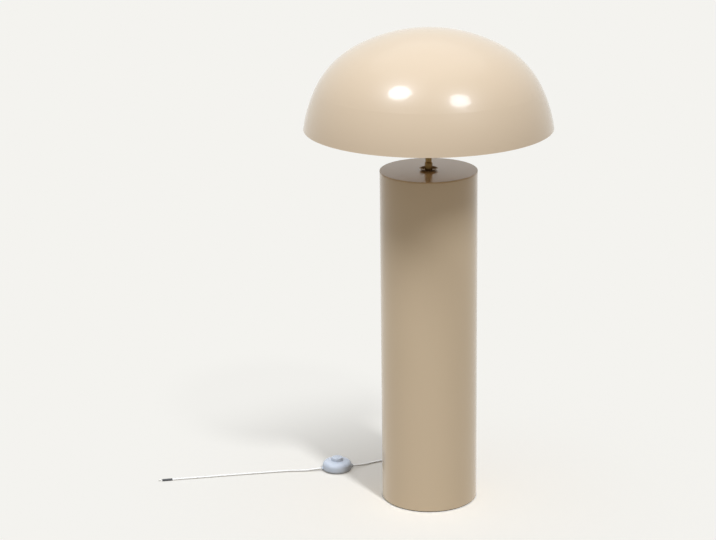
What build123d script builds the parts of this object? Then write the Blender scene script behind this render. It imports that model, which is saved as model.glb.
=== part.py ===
"""Mushroom floor lamp: closed column, short brass neck, spun dome shade, foot switch on a free cord.

Millimetres, +Z up. The origin is on the column's axis, at the floor. The front is -Y.
"""

import os
from math import acos, cos, degrees, pi, radians, sin, sqrt, tan

from build123d import *

os.makedirs("parts", exist_ok=True)

# ---- fits ----
SEAT_GAP = 0.15  # curved face against its seat
SLIDE_GAP = 0.25  # radial room of a piece that slips over or into another
HOLE_GAP = 0.3  # radial room of a screw in its hole
RUN_GAP = 0.08  # radial room of a turning fit

# ---- column ----
COLUMN_D = 200.0
COLUMN_WALL = 1.5
TUBE_H = 707.5
TOP_PLATE_T = 2.5
SEAM_CHAMFER = 0.5  # half of the fine groove between the tube and its top plate
SPIGOT_H = 8.0
SPIGOT_WALL = 3.0

# ---- base ----
FOOT_PAD_T = 2.0
FOOT_PAD_W = 9.0
FOOT_PAD_INSET = 1.5
BOTTOM_PLATE_T = 3.0
BRACKET_ANGLES = (40, 160, 280)
BRACKET_T = 2.5
BRACKET_H = 20.0
BRACKET_REACH = 21.0
BRACKET_SPAN = 14.0  # degrees of the tube's wall that a bracket covers
BASE_SCREW_D = 5.0
BASE_SCREW_L = 14.0
BALLAST_H = 24.0
NOTCH_W = 26.0
NOTCH_DEPTH = 32.0
BALLAST_BOLT_D = 12.0
BALLAST_NUT_T = 10.0
BALLAST_NUT_AF = 19.0
WASHER_T = 2.0

# ---- cord and its gland in the back of the column ----
CORD_D = 4.5
GLAND_ANGLE = 100.0
GLAND_Z = 14.0
GLAND_D = 10.0
GLAND_FLANGE_D = 14.0
GLAND_FLANGE_T = 2.5
GLAND_INNER_L = 8.0
GLAND_SPOUT_L = 20.0
GLAND_SPOUT_ROOT_D = 9.0
GLAND_SPOUT_TIP_D = 6.6
GLAND_NUT_AF = 14.0
GLAND_NUT_T = 3.5

# ---- neck ----
NIPPLE_D = 9.8
NIPPLE_BORE = 7.0
NIPPLE_BELOW = 14.0
NECK_NUT_AF = 14.0
NECK_NUT_T = 4.0
NECK_WASHER_D = 24.0
NECK_WASHER_T = 1.5
DISH_FLOOR_D = 20.0
DISH_RIM_D = 38.0
DISH_H = 4.0
DISH_T = 1.0
COLLAR_D = 15.6
COLLAR_L = 17.0
COLLAR_TAPER_L = 3.0
NECK_TUBE_D = 12.7
NECK_TUBE_L = 60.0

# ---- lamp holder ----
HOLDER_D = 39.0
HOLDER_WALL = 2.0
HOLDER_CAP_H = 16.0
HOLDER_CAP_BOSS_D = 18.0
HOLDER_THREAD_DEPTH = 5.0
HOLDER_BODY_H = 44.0
HOLDER_LEDGE_W = 3.5
INSERT_H = 8.0
SHELL_D = 28.4
SHELL_T = 0.5
SHELL_H = 24.0
CONTACT_W = 5.0
CONTACT_T = 0.5
CONTACT_RISE = 3.6
TERMINAL_X = 10.0
TERMINAL_D = 3.0
TERMINAL_HEAD_D = 5.2
TERMINAL_HEAD_T = 1.8
CORE_D = 1.8

# ---- shade ----
RIM_D = 507.0
SHADE_T = 1.2
HEM_H = 6.0
RIM_LEAN = 8.5  # degrees from upright, of the wall at the rim
SKIRT_LEAN = 26.0  # where the skirt's arc ends
SHOULDER_LEAN = 61.0  # where the shoulder's arc ends and the crown begins
SKIRT_R = 275.0
SHOULDER_R = 183.0
SPIDER_ABOVE_RIM = 37.5
SPIDER_UNDER_BODY_TOP = 11.0
SPIDER_T = 2.0
SPIDER_RING_W = 9.5
ARM_ANGLES = (90, 210, 330)
ARM_W = 14.0
ARM_RIB_H = 1.5
RING_D = 57.0
RING_H = 5.0
RING_FLANGE_T = 2.0
RING_COLLAR_W = 4.0
LUG_T = 2.0
LUG_H = 16.0
LUG_FOOT = 18.0
LUG_SPAN = 3.6  # degrees
SHADE_SCREW_D = 4.0
SHADE_SCREW_INSET = 9.0
SHADE_NUT_AF = 7.0
SHADE_NUT_T = 3.2

# ---- bulb ----
BULB_D = 60.0
BULB_L = 106.0
BULB_GLASS_T = 1.0
BULB_NECK_R = 14.0
BULB_NECK_ARC_R = 38.0
BULB_CAP_D = 26.4
BULB_CAP_T = 0.5
BULB_CAP_H = 22.0
BULB_TIP_D = 9.4
BULB_TIP_H = 1.5
BULB_CONE_H = 3.5

# ---- foot switch, in its own frame: X along the cord, Z up ----
SWITCH_X = -201.65
SWITCH_Y = 133.25
SWITCH_TURN = 13.65  # degrees about Z
SWITCH_R = 32.2
SWITCH_FOOT_T = 0.8
SWITCH_EDGE_R = 30.2
SWITCH_WIDE_Z = 6.0
SWITCH_SIDE_R = 41.0
SWITCH_SIDE_LEAN = 10.0  # degrees from upright, where the nearly upright side ends
SWITCH_SHOULDER_R = 9.5
SWITCH_SHOULDER_LEAN = 80.0  # where the shoulder's arc ends and the flat top begins
SWITCH_TOP_Z = 22.0
SWITCH_WALL = 1.8
SWITCH_FLOOR_T = 2.2
SWITCH_CORD_Z = 5.5
OUTLET_X = 34.1
OUTLET_D = 8.5
BUTTON_D = 24.0
BUTTON_TOP_Z = 30.0
BUTTON_WALL = 1.6
BUTTON_FLANGE_W = 1.8
BUTTON_FLANGE_T = 1.6
BUTTON_TRAVEL = 4.5
POST_D = 5.0
ROTOR_D = 17.0
ROTOR_H = 4.0
TOOTH_N = 4
TOOTH_H = 1.5
TOOTH_RING_W = 3.0
BRIDGE_T = 0.6
BRIDGE_W = 4.0
STRIP_T = 0.5
STRIP_W = 4.0
SPRING_WIRE = 0.9
SPRING_TURNS = 5
LIVE_X = 17.0
LIVE_Y = 9.0
NEUTRAL_X = 15.0
NEUTRAL_Y = -18.0
CLAMP_X = 22.5
CLAMP_W = 4.0
CLAMP_T = 1.8
CLAMP_REACH = 7.0
CASE_SCREW_R = 24.0
CASE_SCREW_D = 2.9
SMALL_SCREW_D = 2.5
SMALL_HEAD_D = 4.6
SMALL_HEAD_T = 1.6
SWITCH_CORE_D = 1.6

# ---- the cord's end ----
SLEEVE_D = 5.2
SLEEVE_L = 22.0
TIP_D = 1.7
TIP_L = 8.5

# ---- levels and radii worked out from the sizes above ----
column_r = COLUMN_D / 2
inner_r = column_r - COLUMN_WALL
tube_z = FOOT_PAD_T
tube_top_z = tube_z + TUBE_H
plate_z = tube_top_z + TOP_PLATE_T
floor_z = tube_z + BOTTOM_PLATE_T
ballast_top_z = floor_z + BALLAST_H
ballast_r = inner_r - BRACKET_REACH - 2 * SLIDE_GAP
base_screw_r = inner_r - BRACKET_REACH + 6.0

collar_z = plate_z + DISH_T
neck_tube_z = collar_z + COLLAR_L
holder_z = neck_tube_z + NECK_TUBE_L
body_z = holder_z + HOLDER_CAP_H
body_top_z = body_z + HOLDER_BODY_H
insert_z = body_z + HOLDER_WALL
shell_z = insert_z + INSERT_H
bulb_z = shell_z + 1.0 + CONTACT_RISE + 0.3
spider_z = body_top_z - SPIDER_UNDER_BODY_TOP
spider_top_z = spider_z + SPIDER_T
rim_z = spider_z - SPIDER_ABOVE_RIM

lead_r = CORD_D / 2
neck_bore_r = NIPPLE_D / 2 + SLIDE_GAP


def tube(z, height, r_out, r_in):
    """Adds an upright tube to the part that is being made."""
    with BuildSketch(Plane.XY.offset(z)) as section:
        Circle(r_out)
        Circle(r_in, mode=Mode.SUBTRACT)
    extrude(section.sketch, amount=height)


def hex_nut(plane, across, thick, hole_r):
    """Adds a hexagonal nut that stands on the plane, round its hole."""
    with BuildSketch(plane) as section:
        RegularPolygon(across / 2, 6, major_radius=False)
        Circle(hole_r, mode=Mode.SUBTRACT)
    extrude(section.sketch, amount=thick)


def cord_path(points, name, diameter):
    """The line through the points, with the largest tangent arc that each corner has room for."""
    runs = [b - a for a, b in zip(points, points[1:])]
    radii = []
    for one, two in zip(runs, runs[1:]):
        turn = radians(one.get_angle(two))
        radii.append(0.45 * min(one.length, two.length) / tan(turn / 2))
    print(name, "radii in diameters", [round(r / diameter, 1) for r in radii])
    print(name, "runs", [round(run.length, 1) for run in runs])
    with BuildLine() as route:
        FilletPolyline(*points, radius=radii)
    return route.wire()


def cord_solid(points, name, diameter):
    """Adds a round cord along the points to the part that is being made."""
    path = cord_path(points, name, diameter)
    with BuildSketch(Plane(origin=path @ 0, z_dir=path % 0)) as section:
        Circle(diameter / 2)
    sweep(section.sketch, path=path)
    return path.length


# ======================= column and base =======================

gland_out = Vector(cos(radians(GLAND_ANGLE)), sin(radians(GLAND_ANGLE)), 0)
gland_side = Vector(-gland_out.Y, gland_out.X, 0)


def gland_plane(r):
    """The plane square to the gland's axis, at a distance from the column's axis."""
    return Plane(origin=gland_out * r + Vector(0, 0, GLAND_Z), x_dir=gland_side, z_dir=gland_out)


with BuildPart() as column_tube:
    tube(tube_z, TUBE_H, column_r, inner_r)
    chamfer(column_tube.edges().group_by(Axis.Z)[-1].sort_by(SortBy.RADIUS)[-1], SEAM_CHAMFER)
    with BuildSketch(gland_plane(column_r + 1)):
        Circle(GLAND_D / 2 + SEAT_GAP)
    extrude(amount=-10, mode=Mode.SUBTRACT)

with BuildPart() as column_top_plate:
    with BuildSketch(Plane.XY.offset(tube_top_z)):
        Circle(column_r)
    extrude(amount=TOP_PLATE_T)
    chamfer(column_top_plate.edges().group_by(Axis.Z)[0], SEAM_CHAMFER)
    fillet(column_top_plate.edges().group_by(Axis.Z)[-1], TOP_PLATE_T / 3)
    tube(tube_top_z - SPIGOT_H, SPIGOT_H, inner_r - SLIDE_GAP, inner_r - SLIDE_GAP - SPIGOT_WALL)
    with BuildSketch(Plane.XY.offset(plate_z)):
        Circle(NIPPLE_D / 2 + HOLE_GAP)
    extrude(amount=-TOP_PLATE_T, mode=Mode.SUBTRACT)

with BuildPart() as foot_pad:
    tube(0, FOOT_PAD_T, column_r - FOOT_PAD_INSET, column_r - FOOT_PAD_INSET - FOOT_PAD_W)
    fillet(foot_pad.edges().group_by(Axis.Z)[0], FOOT_PAD_T / 4)

base_screw_spots = [Vector(base_screw_r, 0, 0).rotate(Axis.Z, angle) for angle in BRACKET_ANGLES]
screw_head_r = BASE_SCREW_D * 0.95
bolt_head_r = BALLAST_BOLT_D * 0.5 + BOTTOM_PLATE_T - 0.4

with BuildPart() as bottom_plate:
    with BuildSketch(Plane.XY.offset(tube_z)):
        Circle(inner_r - SLIDE_GAP)
    extrude(amount=BOTTOM_PLATE_T)
    with Locations(Plane.XY.offset(tube_z) * Rotation(180, 0, 0)):
        CounterSinkHole(BALLAST_BOLT_D / 2 + HOLE_GAP, bolt_head_r + HOLE_GAP, BOTTOM_PLATE_T)
    for spot in base_screw_spots:
        with Locations(Location((spot.X, spot.Y, tube_z), (180, 0, 0))):
            CounterSinkHole(BASE_SCREW_D / 2 + HOLE_GAP, screw_head_r + HOLE_GAP, BOTTOM_PLATE_T)


def countersunk(z, shaft_d, head_r, length):
    """Adds a countersunk screw with its head down, flush with level z."""
    cone = head_r - shaft_d / 2
    with BuildSketch(Plane.XZ) as section:
        with BuildLine():
            Polyline(
                (0, z),
                (head_r, z),
                (head_r, z + 0.3),
                (shaft_d / 2, z + 0.3 + cone),
                (shaft_d / 2, z + length - 0.8),
                (shaft_d / 2 - 0.8, z + length),
                (0, z + length),
                close=True,
            )
        make_face()
    revolve(section.sketch, axis=Axis.Z)


with BuildPart() as bottom_screw:
    countersunk(tube_z, BASE_SCREW_D, screw_head_r, BASE_SCREW_L)
    with BuildSketch(Plane.XY.offset(tube_z)):
        SlotOverall(screw_head_r * 1.1, 0.9)
        SlotOverall(screw_head_r * 1.1, 0.9, rotation=90)
    extrude(amount=1.2, mode=Mode.SUBTRACT)

with BuildPart() as bottom_screws:
    for spot in base_screw_spots:
        add(bottom_screw.part.moved(Location((spot.X, spot.Y, 0))))

with BuildPart() as column_brackets:
    for angle in BRACKET_ANGLES:
        start = angle - BRACKET_SPAN / 2
        with BuildSketch(Plane.XY.offset(floor_z)):
            with BuildLine():
                CenterArc((0, 0), inner_r - SEAT_GAP, start, BRACKET_SPAN)
                CenterArc((0, 0), inner_r - BRACKET_REACH, start, BRACKET_SPAN)
                for side in (start, start + BRACKET_SPAN):
                    out = Vector(1, 0, 0).rotate(Axis.Z, side)
                    Line(out * (inner_r - BRACKET_REACH), out * (inner_r - SEAT_GAP))
            make_face()
        extrude(amount=BRACKET_T)
        with BuildSketch(Plane.XY.offset(floor_z)):
            with BuildLine():
                CenterArc((0, 0), inner_r - SEAT_GAP, start, BRACKET_SPAN)
                CenterArc((0, 0), inner_r - SEAT_GAP - BRACKET_T, start, BRACKET_SPAN)
                for side in (start, start + BRACKET_SPAN):
                    out = Vector(1, 0, 0).rotate(Axis.Z, side)
                    Line(out * (inner_r - SEAT_GAP - BRACKET_T), out * (inner_r - SEAT_GAP))
            make_face()
        extrude(amount=BRACKET_H)
    for spot in base_screw_spots:
        with BuildSketch(Plane.XY.offset(floor_z)):
            with Locations((spot.X, spot.Y)):
                Circle(BASE_SCREW_D / 2 + SEAT_GAP)
        extrude(amount=BRACKET_T, mode=Mode.SUBTRACT)

with BuildPart() as ballast_disc:
    tube(floor_z, BALLAST_H, ballast_r, BALLAST_BOLT_D / 2 + HOLE_GAP)
    fillet(ballast_disc.faces().sort_by(Axis.Z)[-1].edges().sort_by(SortBy.RADIUS)[-1], 4.0)
    with BuildSketch(Plane.XY.offset(floor_z)):
        with Locations(gland_out * ballast_r):
            SlotOverall(2 * NOTCH_DEPTH, NOTCH_W, rotation=GLAND_ANGLE)
    extrude(amount=BALLAST_H, mode=Mode.SUBTRACT)

bolt_top_z = ballast_top_z + WASHER_T + BALLAST_NUT_T + 3.0
with BuildPart() as ballast_bolt:
    countersunk(tube_z, BALLAST_BOLT_D, bolt_head_r, bolt_top_z - tube_z)

with BuildPart() as ballast_washer:
    tube(ballast_top_z, WASHER_T, BALLAST_BOLT_D, BALLAST_BOLT_D / 2 + HOLE_GAP)

with BuildPart() as ballast_nut:
    nut_plane = Plane.XY.offset(ballast_top_z + WASHER_T)
    hex_nut(nut_plane, BALLAST_NUT_AF, BALLAST_NUT_T, BALLAST_BOLT_D / 2 + SEAT_GAP)

gland_end_r = column_r + GLAND_FLANGE_T + GLAND_SPOUT_L
with BuildPart() as cord_gland:
    with BuildSketch(gland_plane(column_r)):
        Circle(GLAND_FLANGE_D / 2)
    extrude(amount=GLAND_FLANGE_T)
    fillet(cord_gland.edges().sort_by(Axis((0, 0, GLAND_Z), gland_out))[-1], 0.8)
    with BuildSketch(gland_plane(column_r)):
        Circle(GLAND_D / 2)
    extrude(amount=-COLUMN_WALL - GLAND_INNER_L)
    with BuildSketch(gland_plane(column_r + GLAND_FLANGE_T)):
        Circle(GLAND_SPOUT_ROOT_D / 2)
    with BuildSketch(gland_plane(gland_end_r)):
        Circle(GLAND_SPOUT_TIP_D / 2)
    loft()
    with BuildSketch(gland_plane(gland_end_r)):
        Circle(lead_r + SEAT_GAP)
    extrude(amount=-gland_end_r + inner_r - GLAND_INNER_L, mode=Mode.SUBTRACT)
    for step in range(4):
        groove_r = column_r + GLAND_FLANGE_T + 4.0 + 4.0 * step
        with BuildSketch(gland_plane(groove_r)):
            Circle(GLAND_SPOUT_ROOT_D)
            Circle(lead_r + 0.8, mode=Mode.SUBTRACT)
            Rectangle(GLAND_SPOUT_ROOT_D * 2, 1.6, rotation=90 * (step % 2), mode=Mode.SUBTRACT)
        extrude(amount=1.2, mode=Mode.SUBTRACT)

gland_nut_corner = GLAND_NUT_AF / sqrt(3)
gland_nut_r = sqrt(inner_r**2 - gland_nut_corner**2) - SEAT_GAP
with BuildPart() as gland_nut:
    nut_plane = gland_plane(gland_nut_r - GLAND_NUT_T)
    hex_nut(nut_plane, GLAND_NUT_AF, GLAND_NUT_T, GLAND_D / 2 + SEAT_GAP)

# ======================= neck =======================

with BuildPart() as seat_dish:
    with BuildSketch(Plane.XZ):
        with BuildLine():
            flare = (DISH_RIM_D - DISH_FLOOR_D) / 2
            Polyline((neck_bore_r, plate_z), (DISH_FLOOR_D / 2, plate_z))
            RadiusArc((DISH_FLOOR_D / 2, plate_z), (DISH_RIM_D / 2, plate_z + DISH_H), -2 * flare)
            Line((DISH_RIM_D / 2, plate_z + DISH_H), (DISH_RIM_D / 2 - DISH_T, plate_z + DISH_H))
            RadiusArc(
                (DISH_RIM_D / 2 - DISH_T, plate_z + DISH_H),
                (DISH_FLOOR_D / 2 - DISH_T / 2, collar_z),
                2 * flare,
            )
            Polyline((DISH_FLOOR_D / 2 - DISH_T / 2, collar_z), (neck_bore_r, collar_z), (neck_bore_r, plate_z))
        make_face()
    revolve(axis=Axis.Z)

with BuildPart() as neck_collar:
    with BuildSketch(Plane.XZ):
        with BuildLine():
            Polyline(
                (neck_bore_r, collar_z),
                (COLLAR_D / 2, collar_z),
                (COLLAR_D / 2, neck_tube_z - COLLAR_TAPER_L),
                (NECK_TUBE_D / 2 + 0.2, neck_tube_z),
                (neck_bore_r, neck_tube_z),
                close=True,
            )
        make_face()
    revolve(axis=Axis.Z)

with BuildPart() as neck_tube:
    tube(neck_tube_z, NECK_TUBE_L, NECK_TUBE_D / 2, neck_bore_r)
    chamfer(neck_tube.faces().sort_by(Axis.Z)[0].edges().sort_by(SortBy.RADIUS)[-1], 0.3)

with BuildPart() as threaded_nipple:
    nipple_z = tube_top_z - NIPPLE_BELOW
    tube(nipple_z, holder_z + HOLDER_THREAD_DEPTH - nipple_z, NIPPLE_D / 2, NIPPLE_BORE / 2)
    chamfer(threaded_nipple.edges().filter_by(GeomType.CIRCLE).sort_by(SortBy.RADIUS)[-2:], 0.5)

with BuildPart() as under_washer:
    tube(tube_top_z - NECK_WASHER_T, NECK_WASHER_T, NECK_WASHER_D / 2, neck_bore_r)

with BuildPart() as under_nut:
    nut_plane = Plane.XY.offset(tube_top_z - NECK_WASHER_T - NECK_NUT_T)
    hex_nut(nut_plane, NECK_NUT_AF, NECK_NUT_T, NIPPLE_D / 2 + SEAT_GAP)

# ======================= lamp holder =======================

holder_r = HOLDER_D / 2
with BuildPart() as holder_cap:
    with BuildSketch(Plane.XZ):
        with BuildLine():
            boss_r = HOLDER_CAP_BOSS_D / 2
            cap_in = holder_r - HOLDER_WALL
            Polyline((neck_bore_r, holder_z), (boss_r, holder_z), (boss_r, holder_z + 2))
            RadiusArc((boss_r, holder_z + 2), (holder_r, body_z - 3), -(holder_r - boss_r) * 1.1)
            Polyline((holder_r, body_z - 3), (holder_r, body_z), (cap_in, body_z), (cap_in, body_z - 3))
            RadiusArc(
                (cap_in, body_z - 3),
                (boss_r - 1, holder_z + HOLDER_THREAD_DEPTH),
                (holder_r - boss_r) * 1.1,
            )
            Polyline(
                (boss_r - 1, holder_z + HOLDER_THREAD_DEPTH),
                (neck_bore_r, holder_z + HOLDER_THREAD_DEPTH),
                (neck_bore_r, holder_z),
            )
        make_face()
    revolve(axis=Axis.Z)

with BuildPart() as holder_body:
    tube(body_z, HOLDER_BODY_H, holder_r, holder_r - HOLDER_WALL)
    tube(body_z, HOLDER_WALL, holder_r - HOLDER_WALL, holder_r - HOLDER_WALL - HOLDER_LEDGE_W)
    chamfer(holder_body.edges().group_by(Axis.Z)[-1].sort_by(SortBy.RADIUS)[-1], 0.8)

with BuildPart() as holder_insert:
    with BuildSketch(Plane.XY.offset(insert_z)):
        Circle(holder_r - HOLDER_WALL - SLIDE_GAP)
        with Locations((TERMINAL_X, 0), (-TERMINAL_X, 0)):
            Circle(TERMINAL_D / 2 + SEAT_GAP, mode=Mode.SUBTRACT)
    extrude(amount=INSERT_H)
    with BuildSketch(Plane.XY.offset(shell_z)):
        Circle(CONTACT_W * 0.8)
    extrude(amount=1.0)

with BuildPart() as holder_shell:
    tube(shell_z, SHELL_H, SHELL_D / 2, SHELL_D / 2 - SHELL_T)
    tube(shell_z, SHELL_T, SHELL_D / 2 - SHELL_T, CONTACT_W)

with BuildPart() as holder_contact:
    with BuildSketch(Plane.XZ):
        with BuildLine():
            leaf_z = shell_z + 1.0 + CONTACT_T / 2
            leaf_x = CONTACT_W * 0.6
            Line((-leaf_x, leaf_z), (leaf_x, leaf_z))
            turn_r = (CONTACT_RISE - CONTACT_T) / 2
            CenterArc((leaf_x, leaf_z + turn_r), turn_r, -90, 180)
            Line((leaf_x, leaf_z + 2 * turn_r), (-leaf_x, leaf_z + 2 * turn_r))
        trace(line_width=CONTACT_T)
    extrude(amount=CONTACT_W / 2, both=True)

with BuildPart() as holder_terminals:
    for x in (TERMINAL_X, -TERMINAL_X):
        with BuildSketch(Plane.XY.offset(insert_z)):
            with Locations((x, 0)):
                Circle(TERMINAL_HEAD_D / 2)
        extrude(amount=-TERMINAL_HEAD_T)
        with BuildSketch(Plane.XY.offset(insert_z)):
            with Locations((x, 0)):
                Circle(TERMINAL_D / 2)
        extrude(amount=INSERT_H - 1)
        with BuildSketch(Plane.XY.offset(insert_z - TERMINAL_HEAD_T)):
            with Locations((x, 0)):
                SlotOverall(TERMINAL_HEAD_D * 0.8, 0.8, rotation=90)
        extrude(amount=0.8, mode=Mode.SUBTRACT)


def shade_ring(z, up):
    """Adds a threaded ring whose flange lies at level z and whose collar points up (1) or down (-1)."""
    bore = holder_r + SLIDE_GAP
    with BuildSketch(Plane.XY.offset(z)) as flange:
        Circle(RING_D / 2)
        Circle(bore, mode=Mode.SUBTRACT)
    extrude(flange.sketch, amount=up * RING_FLANGE_T)
    with BuildSketch(Plane.XY.offset(z)) as collar:
        Circle(bore + RING_COLLAR_W)
        with PolarLocations(bore + RING_COLLAR_W, 12):
            Circle(0.9, mode=Mode.SUBTRACT)
        Circle(bore, mode=Mode.SUBTRACT)
    extrude(collar.sketch, amount=up * RING_H)


with BuildPart() as shade_ring_lower:
    shade_ring(spider_z, -1)

with BuildPart() as shade_ring_upper:
    shade_ring(spider_top_z, 1)

# ======================= shade =======================

rim_r = RIM_D / 2


def on_wall(centre, radius, lean):
    """The point of a wall arc where the wall leans that many degrees from upright."""
    return (centre[0] + radius * cos(radians(lean)), centre[1] + radius * sin(radians(lean)))


def arc_centre(point, radius, lean):
    """The centre of the wall arc that passes the point at that lean."""
    return (point[0] - radius * cos(radians(lean)), point[1] - radius * sin(radians(lean)))


skirt_c = arc_centre((rim_r, rim_z), SKIRT_R, RIM_LEAN)
shoulder_c = arc_centre(on_wall(skirt_c, SKIRT_R, SKIRT_LEAN), SHOULDER_R, SKIRT_LEAN)
crown_start = on_wall(shoulder_c, SHOULDER_R, SHOULDER_LEAN)
CROWN_R = crown_start[0] / cos(radians(SHOULDER_LEAN))  # its centre is on the axis
crown_c = arc_centre(crown_start, CROWN_R, SHOULDER_LEAN)
shade_top_z = crown_c[1] + CROWN_R


def skirt_lean(z):
    """The lean of the skirt's outer wall at a level."""
    return 90 - degrees(acos((z - skirt_c[1]) / SKIRT_R))


def skirt_r(z, inward):
    """The radius of the skirt's wall at a level, on the surface that lies inward of the outer one."""
    return skirt_c[0] + sqrt((SKIRT_R - inward) ** 2 - (z - skirt_c[1]) ** 2)


def dome_lines(inward, lean_from, lean_to_apex=90):
    """Adds the dome's outline, shifted inward, from one lean to the apex."""
    arcs = (
        (skirt_c, SKIRT_R - inward, lean_from, SKIRT_LEAN),
        (shoulder_c, SHOULDER_R - inward, SKIRT_LEAN, SHOULDER_LEAN),
        (crown_c, CROWN_R - inward, SHOULDER_LEAN, lean_to_apex),
    )
    for centre, radius, start, end in arcs:
        ThreePointArc(
            on_wall(centre, radius, start),
            on_wall(centre, radius, (start + end) / 2),
            on_wall(centre, radius, end),
        )


hem_lean = skirt_lean(rim_z + HEM_H)
with BuildPart() as shade_shell:
    with BuildSketch(Plane.XZ):
        with BuildLine():
            dome_lines(0, RIM_LEAN)
            dome_lines(SHADE_T, hem_lean)
            Line(on_wall(crown_c, CROWN_R, 90), on_wall(crown_c, CROWN_R - SHADE_T, 90))
            hem_inner_r = SKIRT_R - 2 * SHADE_T
            Line(on_wall(skirt_c, SKIRT_R - SHADE_T, hem_lean), on_wall(skirt_c, hem_inner_r, hem_lean))
            ThreePointArc(
                on_wall(skirt_c, hem_inner_r, hem_lean),
                on_wall(skirt_c, hem_inner_r, (hem_lean + RIM_LEAN) / 2),
                on_wall(skirt_c, hem_inner_r, RIM_LEAN),
            )
            Line(on_wall(skirt_c, hem_inner_r, RIM_LEAN), on_wall(skirt_c, SKIRT_R, RIM_LEAN))
        make_face()
    revolve(axis=Axis.Z)
    fillet(shade_shell.edges().group_by(Axis.Z)[0], SHADE_T * 0.6)

lug_z = spider_top_z
lug_top_z = lug_z + LUG_H
screw_r = skirt_r(lug_z, SHADE_T) - SHADE_SCREW_INSET
arm_end_r = skirt_r(spider_z, SHADE_T) - 2 * SLIDE_GAP - 1.0
screw_spots = [Vector(screw_r, 0, 0).rotate(Axis.Z, angle) for angle in ARM_ANGLES]

with BuildPart() as shade_spider:
    ring_in = holder_r + SLIDE_GAP
    with BuildSketch(Plane.XY.offset(spider_z)):
        Circle(ring_in + SPIDER_RING_W)
        for angle in ARM_ANGLES:
            with Locations(Vector(arm_end_r / 2, 0, 0).rotate(Axis.Z, angle)):
                SlotOverall(arm_end_r, ARM_W, rotation=angle)
        Circle(ring_in, mode=Mode.SUBTRACT)
        with Locations(*[(spot.X, spot.Y) for spot in screw_spots]):
            Circle(SHADE_SCREW_D / 2 + HOLE_GAP, mode=Mode.SUBTRACT)
    extrude(amount=SPIDER_T)
    rib_from = RING_D / 2 + 10
    rib_to = arm_end_r - LUG_FOOT - 10
    for angle in ARM_ANGLES:
        with BuildSketch(Plane.XY.offset(spider_top_z)):
            with Locations(Vector((rib_from + rib_to) / 2, 0, 0).rotate(Axis.Z, angle)):
                SlotOverall(rib_to - rib_from, ARM_W / 3, rotation=angle)
        extrude(amount=ARM_RIB_H)

with BuildPart() as shade_lugs:
    for angle in ARM_ANGLES:
        turned = Plane.XZ.rotated((0, 0, angle - LUG_SPAN / 2))
        back = SHADE_T + SEAT_GAP
        low, high = skirt_lean(lug_z), skirt_lean(lug_top_z)
        with BuildSketch(turned):
            with BuildLine():
                leg_out = ThreePointArc(
                    (skirt_r(lug_z, back), lug_z),
                    (skirt_r(lug_z + LUG_H / 2, back), lug_z + LUG_H / 2),
                    (skirt_r(lug_top_z, back), lug_top_z),
                )
                leg_in = ThreePointArc(
                    (skirt_r(lug_top_z, back + LUG_T), lug_top_z),
                    (skirt_r(lug_z + LUG_H / 2, back + LUG_T), lug_z + LUG_H / 2),
                    (skirt_r(lug_z + LUG_T, back + LUG_T), lug_z + LUG_T),
                )
                Line(leg_out @ 1, leg_in @ 0)
                foot_r = skirt_r(lug_z, back) - LUG_FOOT
                Polyline(leg_in @ 1, (foot_r, lug_z + LUG_T), (foot_r, lug_z), leg_out @ 0)
            make_face()
        revolve(axis=Axis.Z, revolution_arc=LUG_SPAN)
    for spot in screw_spots:
        with BuildSketch(Plane.XY.offset(lug_z)):
            with Locations((spot.X, spot.Y)):
                Circle(SHADE_SCREW_D / 2 + HOLE_GAP)
        extrude(amount=LUG_T, mode=Mode.SUBTRACT)

shade_nut_z = lug_z + LUG_T
with BuildPart() as shade_screws:
    for spot in screw_spots:
        with BuildSketch(Plane.XY.offset(spider_z)):
            with Locations((spot.X, spot.Y)):
                Circle(SHADE_SCREW_D * 0.9)
        extrude(amount=-SHADE_SCREW_D * 0.55)
        with BuildSketch(Plane.XY.offset(spider_z)):
            with Locations((spot.X, spot.Y)):
                Circle(SHADE_SCREW_D / 2)
        extrude(amount=SPIDER_T + LUG_T + SHADE_NUT_T + 1.5)
    low_edges = shade_screws.edges().filter_by(GeomType.CIRCLE).group_by(Axis.Z)[0]
    fillet(low_edges, SHADE_SCREW_D * 0.3)

with BuildPart() as shade_nuts:
    for spot in screw_spots:
        nut_plane = Plane(origin=(spot.X, spot.Y, shade_nut_z))
        hex_nut(nut_plane, SHADE_NUT_AF, SHADE_NUT_T, SHADE_SCREW_D / 2 + SEAT_GAP)

# ======================= bulb =======================

bulb_r = BULB_D / 2
globe_z = bulb_z + BULB_L - bulb_r
neck_arc_x = BULB_NECK_R + BULB_NECK_ARC_R
neck_arc_z = globe_z - sqrt((bulb_r + BULB_NECK_ARC_R) ** 2 - neck_arc_x**2)
bulb_cap_z = bulb_z + BULB_TIP_H + BULB_CONE_H
bulb_cap_top_z = bulb_cap_z + BULB_CAP_H


def bulb_line(inward):
    """Adds half the glass's outline, from the neck to the crown, shifted inward."""
    globe, flare = bulb_r - inward, BULB_NECK_ARC_R + inward
    share = globe / (globe + flare)
    join = (neck_arc_x * share, globe_z + (neck_arc_z - globe_z) * share)
    waist = (neck_arc_x - flare, neck_arc_z)
    Line((waist[0], bulb_cap_top_z), waist)
    RadiusArc(waist, join, flare)
    low = degrees(acos(join[0] / globe))
    mid = radians((90 - low) / 2)
    ThreePointArc(join, (globe * cos(mid), globe_z + globe * sin(mid)), (0, globe_z + globe))


with BuildPart() as bulb_envelope:
    with BuildSketch(Plane.XZ):
        with BuildLine():
            bulb_line(0)
            bulb_line(BULB_GLASS_T)
            Line((0, globe_z + bulb_r), (0, globe_z + bulb_r - BULB_GLASS_T))
            Line((BULB_NECK_R, bulb_cap_top_z), (BULB_NECK_R - BULB_GLASS_T, bulb_cap_top_z))
        make_face()
    revolve(axis=Axis.Z)

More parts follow.
